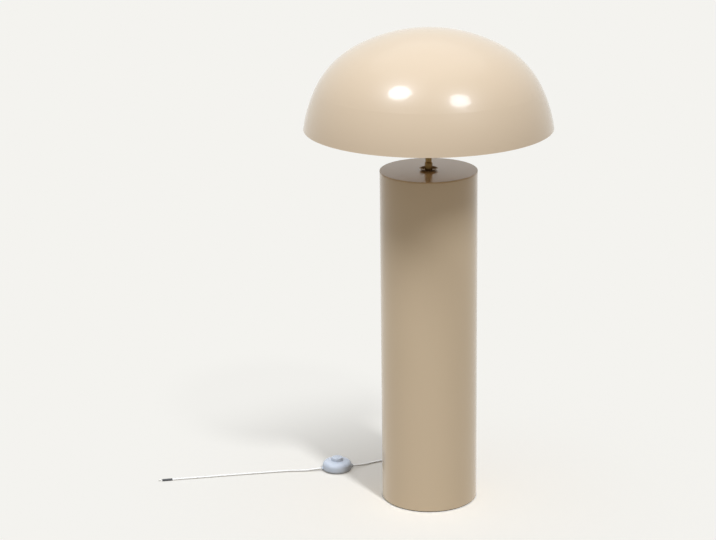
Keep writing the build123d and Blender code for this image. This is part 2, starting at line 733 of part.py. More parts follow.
bulb_cap_r = BULB_CAP_D / 2
with BuildPart() as bulb_cap:
    tube(bulb_cap_z, BULB_CAP_H, bulb_cap_r, bulb_cap_r - BULB_CAP_T)
    tube(bulb_cap_top_z - 1.0, 1.0, BULB_NECK_R, bulb_cap_r - BULB_CAP_T)

with BuildPart() as bulb_insulator:
    with BuildSketch(Plane.XY.offset(bulb_z + BULB_TIP_H)):
        Circle(BULB_TIP_D / 2)
    with BuildSketch(Plane.XY.offset(bulb_cap_z)):
        Circle(bulb_cap_r - BULB_CAP_T)
    loft()

with BuildPart() as bulb_tip:
    with BuildSketch(Plane.XY.offset(bulb_z)):
        Circle(BULB_TIP_D / 2)
    extrude(amount=BULB_TIP_H)
    fillet(bulb_tip.edges().group_by(Axis.Z)[0], BULB_TIP_H * 0.6)

with BuildPart() as bulb_stem:
    stem_r = bulb_cap_r - BULB_CAP_T - SLIDE_GAP
    with BuildSketch(Plane.XY.offset(bulb_cap_z)):
        Circle(stem_r)
    extrude(amount=BULB_CAP_H - 2)
    with BuildSketch(Plane.XY.offset(bulb_cap_top_z - 2)):
        Circle(stem_r * 0.6)
    with BuildSketch(Plane.XY.offset(globe_z - bulb_r * 0.7)):
        Circle(stem_r * 0.25)
    loft()
    with BuildSketch(Plane.XY.offset(globe_z - bulb_r * 0.7)):
        Circle(stem_r * 0.25)
    extrude(amount=bulb_r)

# ======================= foot switch =======================

switch = Plane(
    origin=(SWITCH_X, SWITCH_Y, 0),
    x_dir=(cos(radians(SWITCH_TURN)), sin(radians(SWITCH_TURN)), 0),
    z_dir=(0, 0, 1),
)
side_on = Plane(origin=switch.origin, x_dir=switch.x_dir, z_dir=-switch.y_dir)
end_on = Plane(origin=switch.origin, x_dir=switch.y_dir, z_dir=switch.x_dir)
switch_axis = Axis(switch.origin, (0, 0, 1))

case_floor_z = SWITCH_FOOT_T + SWITCH_FLOOR_T
button_r = BUTTON_D / 2
button_hole_r = button_r + SLIDE_GAP
flange_r = button_r + BUTTON_FLANGE_W
flange_top_z = SWITCH_TOP_Z - SWITCH_WALL - 0.3
flange_z = flange_top_z - BUTTON_FLANGE_T
rotor_z = case_floor_z + STRIP_T + 0.3 + BRIDGE_T
rotor_tooth_z = rotor_z + ROTOR_H
plunger_z = rotor_tooth_z + TOOTH_H + BUTTON_TRAVEL + 0.3
button_under_z = BUTTON_TOP_Z - 2.4
rotor_r = ROTOR_D / 2
post_r = POST_D / 2
spring_r = (button_r - BUTTON_WALL + flange_r) / 2 - 0.5
spring_seat_z = case_floor_z + STRIP_T + 1.2
case_spots = [(0, CASE_SCREW_R), (0, -CASE_SCREW_R)]
terminal_spots = [(LIVE_X, LIVE_Y), (-LIVE_X, LIVE_Y), (NEUTRAL_X, NEUTRAL_Y), (-NEUTRAL_X, NEUTRAL_Y)]
clamp_screw_spots = [(x, y) for x in (CLAMP_X, -CLAMP_X) for y in (CLAMP_REACH - 2, 2 - CLAMP_REACH)]
case_post_z = case_floor_z + 3.0


def case_outline(inward):
    """Adds the switch cover's wall from its lower edge to the button's hole, shifted inward."""
    edge = (SWITCH_EDGE_R - inward, SWITCH_FOOT_T)
    wide = (SWITCH_R - inward, SWITCH_WIDE_Z)
    collar = (button_hole_r + 2.0, SWITCH_TOP_Z - inward)
    shoulder_turn = SWITCH_SHOULDER_LEAN - SWITCH_SIDE_LEAN
    TangentArc(wide, edge, tangent=(0, -1))
    side = JernArc(wide, (0, 1), SWITCH_SIDE_R - inward, SWITCH_SIDE_LEAN)
    shoulder = JernArc(side @ 1, side % 1, SWITCH_SHOULDER_R - inward, shoulder_turn)
    TangentArc(shoulder @ 1, collar, tangent=shoulder % 1)
    Line(collar, (button_hole_r, SWITCH_TOP_Z - inward))


with BuildPart() as switch_cover:
    with BuildSketch(switch.offset(case_post_z)):
        with Locations(*case_spots):
            Circle(CASE_SCREW_D)
    extrude(amount=SWITCH_TOP_Z - case_post_z)
    with BuildSketch(side_on):
        with BuildLine():
            case_outline(0)
            Line((button_hole_r, SWITCH_TOP_Z), (button_hole_r, SWITCH_TOP_Z + 5))
            Line((button_hole_r, SWITCH_TOP_Z + 5), (SWITCH_R + 10, SWITCH_TOP_Z + 5))
            Line((SWITCH_R + 10, SWITCH_TOP_Z + 5), (SWITCH_R + 10, SWITCH_FOOT_T))
            Line((SWITCH_R + 10, SWITCH_FOOT_T), (SWITCH_EDGE_R, SWITCH_FOOT_T))
        make_face()
    revolve(axis=switch_axis, mode=Mode.SUBTRACT)
    with BuildSketch(side_on):
        with BuildLine():
            case_outline(0)
            case_outline(SWITCH_WALL)
            Line((SWITCH_EDGE_R, SWITCH_FOOT_T), (SWITCH_EDGE_R - SWITCH_WALL, SWITCH_FOOT_T))
            Line((button_hole_r, SWITCH_TOP_Z), (button_hole_r, SWITCH_TOP_Z - SWITCH_WALL))
        make_face()
    revolve(axis=switch_axis)
    for way in (1, -1):
        with BuildSketch(end_on.offset(way * (SWITCH_R - SWITCH_WALL - 1))):
            with Locations((0, SWITCH_CORD_Z)):
                Circle(OUTLET_D / 2)
        extrude(amount=way * (OUTLET_X - SWITCH_R + SWITCH_WALL + 1))
    with BuildSketch(end_on.offset(-OUTLET_X)):
        with Locations((0, SWITCH_CORD_Z)):
            Circle(lead_r + SEAT_GAP)
    extrude(amount=2 * OUTLET_X, mode=Mode.SUBTRACT)
    with BuildSketch(switch.offset(case_post_z)):
        with Locations(*case_spots):
            Circle(CASE_SCREW_D / 2 + SEAT_GAP)
    extrude(amount=6, mode=Mode.SUBTRACT)

base_r = SWITCH_EDGE_R - SWITCH_WALL - SLIDE_GAP
with BuildPart() as switch_base:
    with BuildSketch(switch.offset(SWITCH_FOOT_T)):
        Circle(base_r)
    extrude(amount=SWITCH_FLOOR_T)
    with BuildSketch(switch.offset(case_floor_z)):
        Circle(post_r)
    extrude(amount=rotor_tooth_z + TOOTH_H + 2 - case_floor_z)
    chamfer(switch_base.faces().sort_by(Axis.Z)[-1].edges(), 0.6)
    with BuildSketch(switch.offset(case_floor_z)):
        Circle(spring_r + 1.6)
        Circle(spring_r - 1.6, mode=Mode.SUBTRACT)
        Rectangle(4 * spring_r, STRIP_W + 1, mode=Mode.SUBTRACT)
    extrude(amount=spring_seat_z - case_floor_z)
    with BuildSketch(switch.offset(case_floor_z)):
        with Locations(*case_spots):
            Circle(CASE_SCREW_D)
    extrude(amount=case_post_z - case_floor_z)
    with BuildSketch(switch.offset(SWITCH_FOOT_T)):
        with Locations(*case_spots):
            Circle(CASE_SCREW_D / 2 + HOLE_GAP)
    extrude(amount=case_post_z - SWITCH_FOOT_T, mode=Mode.SUBTRACT)
    with BuildSketch(switch.offset(SWITCH_FOOT_T)):
        with Locations(*case_spots):
            Circle(CASE_SCREW_D + HOLE_GAP)
    extrude(amount=SMALL_HEAD_T + 0.2, mode=Mode.SUBTRACT)
    with BuildSketch(switch.offset(case_floor_z)):
        with Locations(*clamp_screw_spots):
            Circle(SMALL_SCREW_D)
    extrude(amount=SWITCH_CORD_Z + lead_r - case_floor_z)
    with BuildSketch(switch.offset(case_floor_z)):
        with Locations(*clamp_screw_spots):
            Circle(SMALL_SCREW_D / 2 + SEAT_GAP)
    extrude(amount=SWITCH_CORD_Z + lead_r - case_floor_z, mode=Mode.SUBTRACT)

with BuildPart() as switch_feet:
    with BuildSketch(switch):
        with PolarLocations(base_r * 0.68, 4, start_angle=45):
            Circle(4.0)
    extrude(amount=SWITCH_FOOT_T)

with BuildPart() as switch_button:
    with BuildSketch(side_on):
        with BuildLine():
            top_edge_z = BUTTON_TOP_Z - 1.4
            inner = button_r - BUTTON_WALL
            ThreePointArc(
                (0, BUTTON_TOP_Z),
                (button_r * 0.5, BUTTON_TOP_Z - 0.25),
                (button_r - 1.0, BUTTON_TOP_Z - 0.9),
            )
            RadiusArc((button_r - 1.0, BUTTON_TOP_Z - 0.9), (button_r, top_edge_z - 0.6), 1.3)
            Polyline(
                (button_r, top_edge_z - 0.6),
                (button_r, flange_top_z),
                (flange_r, flange_top_z),
                (flange_r, flange_z),
                (inner, flange_z),
                (inner, button_under_z),
                (0, button_under_z),
                (0, BUTTON_TOP_Z),
            )
        make_face()
    revolve(axis=switch_axis)


def teeth(level, up):
    """Cuts saw teeth into a ring's face at the level: their tips are there, and they point up or down."""
    ring_mid = rotor_r - TOOTH_RING_W / 2
    half = 0.42 * 2 * pi * ring_mid / TOOTH_N
    for i in range(TOOTH_N):
        out = switch.x_dir.rotate(Axis.Z, i * 360 / TOOTH_N)
        across = out.cross(Vector(0, 0, 1))
        origin = switch.origin + out * (rotor_r - TOOTH_RING_W - 1) + Vector(0, 0, level)
        facing = Plane(origin=origin, x_dir=across, z_dir=out)
        depth = -up * facing.y_dir.Z * TOOTH_H
        with BuildSketch(facing) as gash:
            with BuildLine():
                Polyline((-half, 0), (half, 0), (half, depth), close=True)
            make_face()
        extrude(gash.sketch, amount=TOOTH_RING_W + 2, mode=Mode.SUBTRACT)


with BuildPart() as switch_plunger:
    with BuildSketch(switch.offset(plunger_z)):
        Circle(rotor_r)
        Circle(rotor_r - TOOTH_RING_W, mode=Mode.SUBTRACT)
    extrude(amount=button_under_z - plunger_z)
    teeth(plunger_z, -1)

with BuildPart() as switch_rotor:
    with BuildSketch(switch.offset(rotor_z)):
        Circle(rotor_r)
    extrude(amount=ROTOR_H)
    with BuildSketch(switch.offset(rotor_tooth_z)):
        Circle(rotor_r)
        Circle(rotor_r - TOOTH_RING_W, mode=Mode.SUBTRACT)
    extrude(amount=TOOTH_H)
    teeth(rotor_tooth_z + TOOTH_H, 1)
    with BuildSketch(switch.offset(rotor_z)):
        Circle(post_r + RUN_GAP)
    extrude(amount=ROTOR_H + TOOTH_H, mode=Mode.SUBTRACT)

with BuildPart() as switch_bridge:
    with BuildSketch(switch.offset(rotor_z - BRIDGE_T)):
        SlotOverall(2 * rotor_r - 1, BRIDGE_W, rotation=90)
        Circle(post_r + 1.6)
        Circle(post_r + HOLE_GAP, mode=Mode.SUBTRACT)
    extrude(amount=BRIDGE_T)

with BuildPart() as switch_contacts:
    for way in (1, -1):
        with BuildSketch(switch.offset(case_floor_z)):
            with BuildLine():
                Polyline((way * (rotor_r - 3), 0), (way * LIVE_X, 0), (way * LIVE_X, LIVE_Y + STRIP_W / 2))
            trace(line_width=STRIP_W)
            with Locations((way * LIVE_X, LIVE_Y)):
                Circle(SMALL_SCREW_D / 2 + SEAT_GAP, mode=Mode.SUBTRACT)
        extrude(amount=STRIP_T)

with BuildPart() as switch_neutral_link:
    with BuildSketch(switch.offset(case_floor_z)):
        with Locations((0, NEUTRAL_Y)):
            SlotOverall(2 * NEUTRAL_X + STRIP_W + 2, STRIP_W)
        with Locations((NEUTRAL_X, NEUTRAL_Y), (-NEUTRAL_X, NEUTRAL_Y)):
            Circle(SMALL_SCREW_D / 2 + SEAT_GAP, mode=Mode.SUBTRACT)
    extrude(amount=STRIP_T)


def pan_screws(spots, seat_z, shaft_below, up=1):
    """Adds pan head screws whose heads stand on the seat, with their shafts on its other side."""
    for spot in spots:
        with BuildSketch(switch.offset(seat_z)) as head:
            with Locations(spot):
                Circle(SMALL_HEAD_D / 2)
        extrude(head.sketch, amount=up * SMALL_HEAD_T)
        with BuildSketch(switch.offset(seat_z)) as shaft:
            with Locations(spot):
                Circle(SMALL_SCREW_D / 2)
        extrude(shaft.sketch, amount=-up * shaft_below)


with BuildPart() as switch_terminal_screws:
    pan_screws(terminal_spots, case_floor_z + STRIP_T, STRIP_T)

clamp_z = SWITCH_CORD_Z + lead_r
with BuildPart() as switch_clamps:
    for way in (1, -1):
        with BuildSketch(switch.offset(clamp_z)):
            with Locations((way * CLAMP_X, 0)):
                SlotOverall(2 * CLAMP_REACH, CLAMP_W, rotation=90)
        extrude(amount=CLAMP_T)
    with BuildSketch(switch.offset(clamp_z)):
        with Locations(*clamp_screw_spots):
            Circle(SMALL_SCREW_D / 2 + SEAT_GAP)
    extrude(amount=CLAMP_T, mode=Mode.SUBTRACT)

with BuildPart() as switch_clamp_screws:
    pan_screws(clamp_screw_spots, clamp_z + CLAMP_T, CLAMP_T + 3)

with BuildPart() as switch_case_screws:
    pan_screws(case_spots, SWITCH_FOOT_T + SMALL_HEAD_T + 0.2, 7, up=-1)

tail_x = CLAMP_X - CLAMP_W / 2 - 1.0
with BuildPart() as switch_cord_tails:
    for way in (1, -1):
        with BuildSketch(end_on.offset(way * tail_x)):
            with Locations((0, SWITCH_CORD_Z)):
                Circle(lead_r)
        extrude(amount=way * (OUTLET_X - tail_x))


def in_switch(x, y, z):
    """A point of the switch's own frame, in the lamp's frame."""
    return switch.from_local_coords(Vector(x, y, z))


core_z = case_floor_z + STRIP_T + SWITCH_CORE_D / 2 + 0.1
core_stand_off = SMALL_HEAD_D / 2 + 0.6
with BuildPart() as switch_cores:
    for way in (1, -1):
        for offset, x, y in ((0.95, LIVE_X, LIVE_Y), (-0.95, NEUTRAL_X, NEUTRAL_Y)):
            side = 1 if y > 0 else -1
            points = [
                in_switch(way * tail_x, offset, SWITCH_CORD_Z),
                in_switch(way * (tail_x - 1.3), offset, SWITCH_CORD_Z),
                in_switch(way * (x + 1.2), y - side * (core_stand_off + 2.5), core_z + 0.5),
                in_switch(way * x, y - side * core_stand_off, core_z),
            ]
            cord_solid(points, "switch core", SWITCH_CORE_D)

spring_l = flange_z - spring_seat_z - SPRING_WIRE
spring_foot = switch.origin + Vector(0, 0, spring_seat_z + SPRING_WIRE / 2)
with BuildLine() as coil:
    Helix(pitch=spring_l / SPRING_TURNS, height=spring_l, radius=spring_r, center=spring_foot)
with BuildPart() as switch_spring:
    with BuildSketch(Plane(origin=coil.line @ 0, z_dir=coil.line % 0)) as wire:
        RegularPolygon(SPRING_WIRE / 2, 8)
    sweep(wire.sketch, path=coil.line, is_frenet=True)

# ======================= cords =======================

lie_z = lead_r + 0.05  # the centre line of a cord that lies on the floor


def along_gland(r, z):
    """A point straight out from the column's axis, over or under the gland's axis."""
    return gland_out * r + Vector(0, 0, z)


# The lead hangs down the column from the holder, lightly waved, and bends out to the gland at the foot.
lead_end_z = holder_z + HOLDER_THREAD_DEPTH + 2.5
inner_points = [
    Vector(0, 0, lead_end_z),
    Vector(0, 0, tube_top_z - NIPPLE_BELOW - 8),
    Vector(2, 1, 640),
    Vector(6, -2, 586),
    Vector(7, -6, 530),
    Vector(3, -8, 474),
    Vector(-3, -6, 420),
    Vector(-6, -1, 364),
    Vector(-5, 3, 308),
    Vector(-1, 4, 254),
    Vector(2, 3, 204),
    along_gland(5, 158),
    along_gland(11, 116),
    along_gland(24, 78),
    along_gland(40, 48),
    along_gland(59, 25),
    along_gland(79, GLAND_Z),
    along_gland(gland_end_r, GLAND_Z),
]
with BuildPart() as internal_lead:
    inner_length = cord_solid(inner_points, "internal lead", CORD_D)

with BuildPart() as holder_cores:
    for way in (1, -1):
        core_points = [
            Vector(way * 1.05, 0, lead_end_z),
            Vector(way * 1.05, 0, lead_end_z + 2.4),
            Vector(way * (TERMINAL_X - 5.2), 0, insert_z - TERMINAL_HEAD_T - 1.6),
            Vector(way * (TERMINAL_X - TERMINAL_HEAD_D / 2 - 0.2), 0, insert_z - TERMINAL_HEAD_T - 0.2),
        ]
        cord_solid(core_points, "holder core", CORE_D)

# From the gland the cord drops to the floor behind the column and curves round to the switch.
outlet_right = in_switch(OUTLET_X, 0, SWITCH_CORD_Z)
outlet_left = in_switch(-OUTLET_X, 0, SWITCH_CORD_Z)
to_switch_points = [
    along_gland(gland_end_r, GLAND_Z),
    along_gland(gland_end_r + 14, GLAND_Z),
    Vector(-29, 154, 9.0),
    Vector(-42, 171, 3.6),
    Vector(-65, 181.5, lie_z),
    Vector(-90, 182.5, lie_z),
    Vector(-111, 176, lie_z),
    Vector(-128.5, 165, lie_z),
    Vector(-145, 152.5, 3.6),
    in_switch(OUTLET_X + 11, 0, SWITCH_CORD_Z),
    outlet_right,
]
with BuildPart() as cord_to_switch:
    to_switch_length = cord_solid(to_switch_points, "cord to switch", CORD_D)

# From the switch it runs nearly straight along the floor to its end.
sleeve_start = Vector(-557.1, 68.9, SLEEVE_D / 2 + 0.05)
end_way = Vector(-21.6, -4.6, 0).normalized()
to_end_points = [
    outlet_left,
    in_switch(-OUTLET_X - 11, 0, SWITCH_CORD_Z),
    Vector(-268, 120.5, lie_z + 0.1),
    Vector(-308, 119.5, lie_z),
    Vector(-360, 109.0, lie_z),
    Vector(-412, 99.5, lie_z),
    Vector(-463, 89.0, lie_z),
    Vector(-502, 80.8, lie_z),
    sleeve_start - end_way * 18,
    sleeve_start,
]
with BuildPart() as cord_to_end:
    to_end_length = cord_solid(to_end_points, "cord to end", CORD_D)

end_plane = Plane(origin=sleeve_start, z_dir=end_way)
with BuildPart() as cord_end_sleeve:
    with BuildSketch(end_plane):
        Circle(SLEEVE_D / 2)
    extrude(amount=SLEEVE_L)
    fillet(cord_end_sleeve.edges().filter_by(GeomType.CIRCLE), 0.5)

with BuildPart() as cord_end_tips:
    with BuildSketch(end_plane.offset(SLEEVE_L)):
        with Locations((TIP_D * 0.62, 0), (-TIP_D * 0.62, 0)):
            Circle(TIP_D / 2)
    extrude(amount=TIP_L)

for name, solid, length in (
    ("internal lead", internal_lead, inner_length),
    ("cord to switch", cord_to_switch, to_switch_length),
    ("cord to end", cord_to_end, to_end_length),
):
    share = solid.part.volume / (pi * lead_r**2 * length)
    print(name, "length", round(length, 1), "volume / (section x length)", round(share, 4))

pieces = {
    "column_tube": column_tube,
    "column_top_plate": column_top_plate,
    "column_brackets": column_brackets,
    "bottom_plate": bottom_plate,
    "bottom_screws": bottom_screws,
    "ballast_disc": ballast_disc,
    "ballast_bolt": ballast_bolt,
    "ballast_washer": ballast_washer,
    "ballast_nut": ballast_nut,
    "foot_pad": foot_pad,
    "cord_gland": cord_gland,
    "gland_nut": gland_nut,
    "seat_dish": seat_dish,
    "neck_collar": neck_collar,
    "neck_tube": neck_tube,
    "threaded_nipple": threaded_nipple,
    "under_washer": under_washer,
    "under_nut": under_nut,
    "holder_cap": holder_cap,
    "holder_body": holder_body,
    "holder_insert": holder_insert,
    "holder_shell": holder_shell,
    "holder_contact": holder_contact,
    "holder_terminals": holder_terminals,
    "shade_ring_lower": shade_ring_lower,
    "shade_ring_upper": shade_ring_upper,
    "shade_spider": shade_spider,
    "shade_lugs": shade_lugs,
    "shade_screws": shade_screws,
    "shade_nuts": shade_nuts,
    "shade_shell": shade_shell,
    "bulb_envelope": bulb_envelope,
    "bulb_cap": bulb_cap,
    "bulb_insulator": bulb_insulator,
    "bulb_tip": bulb_tip,
    "bulb_stem": bulb_stem,
    "internal_lead": internal_lead,
    "holder_cores": holder_cores,
    "cord_to_switch": cord_to_switch,
    "cord_to_end": cord_to_end,
    "cord_end_sleeve": cord_end_sleeve,
    "cord_end_tips": cord_end_tips,
    "switch_base": switch_base,
    "switch_cover": switch_cover,
    "switch_button": switch_button,
    "switch_plunger": switch_plunger,
    "switch_spring": switch_spring,
    "switch_rotor": switch_rotor,
    "switch_bridge": switch_bridge,
    "switch_contacts": switch_contacts,
    "switch_neutral_link": switch_neutral_link,
    "switch_terminal_screws": switch_terminal_screws,
    "switch_clamps": switch_clamps,
    "switch_clamp_screws": switch_clamp_screws,
    "switch_case_screws": switch_case_screws,
    "switch_feet": switch_feet,
    "switch_cord_tails": switch_cord_tails,
    "switch_cores": switch_cores,
}
for name, piece in pieces.items():
    piece.part.label = name
    export_step(piece.part, f"parts/{name}.step")
print(len(pieces), "pieces; shade rim at", round(rim_z, 2), "top at", round(shade_top_z, 2))
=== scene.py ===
# %% [markdown]
# # A mushroom floor lamp
#
# A spun steel dome sits on a short brass neck over a closed steel column. A thin pale cord leaves
# the back of the column, goes through a round foot switch and ends in two bare wires. The CAD model
# already has every piece at its place, so this lesson gives the pieces their finishes, lays the
# cord, models what CAD leaves out, and lights and frames the lamp as a studio photograph does.

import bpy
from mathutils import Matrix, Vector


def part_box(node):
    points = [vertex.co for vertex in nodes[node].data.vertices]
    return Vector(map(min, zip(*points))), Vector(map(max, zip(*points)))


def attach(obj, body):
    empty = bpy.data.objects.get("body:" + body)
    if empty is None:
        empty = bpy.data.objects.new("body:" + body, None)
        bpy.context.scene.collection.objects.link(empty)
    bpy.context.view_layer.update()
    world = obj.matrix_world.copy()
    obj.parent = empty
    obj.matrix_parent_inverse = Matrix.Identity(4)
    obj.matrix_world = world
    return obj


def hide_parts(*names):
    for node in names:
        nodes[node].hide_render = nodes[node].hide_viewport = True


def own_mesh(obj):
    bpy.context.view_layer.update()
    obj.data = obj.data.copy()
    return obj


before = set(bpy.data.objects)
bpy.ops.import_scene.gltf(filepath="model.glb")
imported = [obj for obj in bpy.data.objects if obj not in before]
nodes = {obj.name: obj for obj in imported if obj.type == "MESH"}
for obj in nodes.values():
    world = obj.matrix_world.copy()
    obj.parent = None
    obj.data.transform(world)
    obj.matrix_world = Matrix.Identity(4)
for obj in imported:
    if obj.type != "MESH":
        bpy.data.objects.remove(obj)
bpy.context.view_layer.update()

# %% Import the tools
from math import pi, radians, sin

import bmesh
import bpy
from mathutils import Matrix, Vector

MM = 0.001

# %% [markdown]
# ## The camera
#
# The photograph was taken from a little above with a long lens, so upright lines stay nearly
# parallel. A camera could be aimed at the lamp by eye. Here its place, heading, tilt and roll were
# fitted to the outlines of the column and the dome instead, because only then does the render lie
# exactly over the photograph. The sensor fit is horizontal, so the lens means the same at any
# height of the image.

# %% Set up the camera
CAMERA_PLACE = (0.0, -4.24744, 1.82044)  # metres
CAMERA_HEADING = 1.9710  # degrees, to the left of the Y axis
CAMERA_TILT = 17.2706  # degrees, below level
CAMERA_ROLL = -0.7162  # degrees, about the line of sight
IMAGE_WIDTH = 716
FOCAL_PIXELS = 2155.0
SENSOR_WIDTH = 36.0  # millimetres


def add_camera():
    """A camera that stands, turns, tips and rolls by the named values."""
    data = bpy.data.cameras.new("camera")
    data.sensor_fit = "HORIZONTAL"
    data.sensor_width = SENSOR_WIDTH
    data.lens = FOCAL_PIXELS * SENSOR_WIDTH / IMAGE_WIDTH
    camera = bpy.data.objects.new("camera", data)
    bpy.context.scene.collection.objects.link(camera)
    heading = Matrix.Rotation(radians(CAMERA_HEADING), 4, "Z")
    tilt = Matrix.Rotation(radians(90 - CAMERA_TILT), 4, "X")
    roll = Matrix.Rotation(radians(CAMERA_ROLL), 4, "Z")
    camera.matrix_world = Matrix.Translation(CAMERA_PLACE) @ heading @ tilt @ roll
    bpy.context.scene.camera = camera
    return camera


camera = add_camera()
print("camera with a lens of", round(camera.data.lens, 1), "mm")

# %% [markdown]
# ## The cord
#
# The real cord is a thin round cable that lies on the floor where it fell. A disc swept from point
# to point would show a kink at each of them. A NURBS spline with the route's own points bends as
# evenly as a cable does, and its round bevel gives the thickness. The route's heights keep the cord
# on the floor, except where it rises to the gland, the switch and the sleeve.

# %% Lay the cord
CORD_D = 4.5 * MM

# Both routes are in metres: from the gland to the switch, and from the switch to the sleeve.
TO_SWITCH = [
    (-0.02127, 0.12064, 0.0140),
    (-0.02370, 0.13443, 0.0140),
    (-0.0290, 0.1540, 0.0090),
    (-0.0420, 0.1710, 0.0036),
    (-0.0650, 0.1815, 0.0023),
    (-0.0900, 0.1825, 0.0023),
    (-0.1110, 0.1760, 0.0023),
    (-0.1285, 0.1650, 0.0023),
    (-0.1450, 0.1525, 0.0036),
    (-0.15782, 0.14389, 0.0055),
    (-0.16851, 0.14130, 0.0055),
]

TO_END = [
    (-0.23479, 0.12520, 0.0055),
    (-0.24548, 0.12261, 0.0055),
    (-0.2680, 0.1205, 0.0024),
    (-0.3080, 0.1195, 0.0023),
    (-0.3600, 0.1090, 0.0023),
    (-0.4120, 0.0995, 0.0023),
    (-0.4630, 0.0890, 0.0023),
    (-0.5020, 0.0808, 0.0023),
    (-0.53949, 0.07265, 0.00265),
    (-0.55710, 0.0689, 0.00265),
]


def lay_cord(name, route):
    """A round cord on a smooth spline that the route's points steer, on the lamp's body."""
    curve = bpy.data.curves.new(name, "CURVE")
    curve.dimensions = "3D"
    curve.bevel_depth = 1.0
    curve.bevel_resolution = 5
    curve.resolution_u = 12
    curve.use_fill_caps = True
    spline = curve.splines.new("NURBS")
    spline.points.add(len(route) - 1)
    for point, place in zip(spline.points, route):
        point.co = (*place, 1.0)
        point.radius = CORD_D / 2
    spline.order_u = 3
    spline.use_endpoint_u = True
    cord = bpy.data.objects.new(name, curve)
    bpy.context.scene.collection.objects.link(cord)
    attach(cord, "lamp")
    return cord


first_cord = lay_cord("cord_to_foot_switch", TO_SWITCH)
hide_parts("cord_to_switch")
switch_pieces = [node for name, node in nodes.items() if name.startswith("switch_")]
second_cord = lay_cord("cord_to_bare_end", TO_END)
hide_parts("cord_to_end")
print("cords laid through", len(TO_SWITCH), "and", len(TO_END), "points")

# %% [markdown]
# ## The two bare wires
#
# A cord's conductor is not one wire but a bundle, so that it bends: here one strand runs straight
# and six wind round it. Each could be a curve whose points are worked out on a helix. But a spin
# with a step along its axis is a helix already, so one small disc, spun and carried forward at
# once, makes a wound strand with closed ends. Cutters never leave strands quite equal, so each
# strand of the bundle has its own length.

# %% Wind a wire
WIRE_SIDES = 8


def wind(shape, axis, place, wire_d, rise, turn, steps):
    """A wire with closed ends: a disc at the place, turned so far about the axis while it rises."""
    disc = bmesh.ops.create_circle(
        shape, cap_ends=True, segments=WIRE_SIDES, radius=wire_d / 2, matrix=place
    )
    faces = {face for vert in disc["verts"] for face in vert.link_faces}
    edges = {edge for vert in disc["verts"] for edge in vert.link_edges}
    bmesh.ops.spin(
        shape,
        geom=[*disc["verts"], *edges, *faces],
        cent=axis,
        axis=Vector((0, 0, 1)),
        dvec=Vector((0, 0, rise / steps)),
        angle=radians(turn),
        steps=steps,
    )


def wire_piece(name, shape, node):
    """Makes the wound wires a piece of the lamp in the place of that CAD node, which it hides."""
    bmesh.ops.recalc_face_normals(shape, faces=shape.faces)
    mesh = bpy.data.meshes.new(name)
    shape.to_mesh(mesh)
    shape.free()
    for face in mesh.polygons:
        face.use_smooth = len(face.vertices) == 4  # the round sides, but not the cut ends
    piece = bpy.data.objects.new(name, mesh)
    bpy.context.scene.collection.objects.link(piece)
    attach(piece, "lamp")
    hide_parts(node)
    return piece


print("a wire can be wound, with", WIRE_SIDES, "sides")

# %% Twist the strands
BUNDLE_D = 1.7 * MM
STRAND_D = BUNDLE_D / 3
BARE_LENGTH = 8.5 * MM
BUNDLE_GAP = 1.054 * MM  # from the sleeve's middle to each bundle's
STRAND_TURN = 250.0  # degrees that a strand winds in its length
STRAND_APART = 60  # degrees between neighbours in the ring of six
STRAND_STEPS = 20
STRAND_SHARES = [0.97, 1.0, 0.94, 0.99, 0.95, 0.98, 0.93]  # of the bare length, middle one first


def twist_wires():
    """Both bundles of seven strands, where the CAD model has its two tips."""
    low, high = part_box("cord_end_tips")
    along = Vector(TO_END[-1]) - Vector(TO_END[-2])
    way = Vector((along.x, along.y, 0)).normalized()
    side = way.cross(Vector((0, 0, 1)))
    shape = bmesh.new()
    for hand in (-1, 1):
        axis = Vector((hand * BUNDLE_GAP, 0, 0))
        for number, share in enumerate(STRAND_SHARES):
            heading = Matrix.Rotation(radians(STRAND_APART * number), 4, "Z")
            off = heading @ Vector((STRAND_D if number else 0.0, 0, 0))
            place = Matrix.Translation(axis + off)
            wind(shape, axis, place, STRAND_D, share * BARE_LENGTH, STRAND_TURN, STRAND_STEPS)
    middle = (low + high) / 2 - way * BARE_LENGTH / 2
    place = Matrix((side, way.cross(side), way)).transposed().to_4x4()
    bmesh.ops.transform(shape, matrix=Matrix.Translation(middle) @ place, verts=shape.verts)
    return wire_piece("bare_strands", shape, "cord_end_tips")


bare_strands = twist_wires()
print("twisted", 2 * len(STRAND_SHARES), "strands")

# %% [markdown]
# ## The switch's spring
#
# A wound spring holds the foot switch's button up.

# %% Wind the spring
SPRING_WIRE = 0.9 * MM
SPRING_TURNS = 5
STEPS_PER_TURN = 32


def wind_spring():
    """A spring as high and as wide as the CAD model's."""
    low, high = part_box("switch_spring")
    foot = Vector(((low.x + high.x) / 2, (low.y + high.y) / 2, low.z + SPRING_WIRE / 2))
    radius = (high.x - low.x - SPRING_WIRE) / 2
    upright = Matrix.Rotation(radians(90), 4, "X")
    place = Matrix.Translation(foot + Vector((radius, 0, 0))) @ upright
    height = high.z - low.z
    rise = height - SPRING_WIRE
    steps = STEPS_PER_TURN * SPRING_TURNS
    shape = bmesh.new()
    wind(shape, foot, place, SPRING_WIRE, rise, 360 * SPRING_TURNS, steps)
    spring = wire_piece("wound_spring", shape, "switch_spring")
    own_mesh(spring)
    print("wound a spring", round(height / MM, 1), "mm high")
    return spring


spring = wind_spring()

# %% [markdown]
# ## What the cords are
#
# The switch and its spring are on the first cord, and the dark sleeve with the bare strands is on
# the end of the second.

print("the switch is on the first cord, the bare end on the second")

# %% [markdown]
# ## Colours and shader nodes
#
# A colour is written as the hex value that a designer would pick from a screen. Blender's shaders
# work with light, so one function turns hex into linear numbers, by the sRGB curve: a straight line
# near black and a power above it. A second function adds a shader node, sets it and links it, so
# that each material below reads as a short recipe.


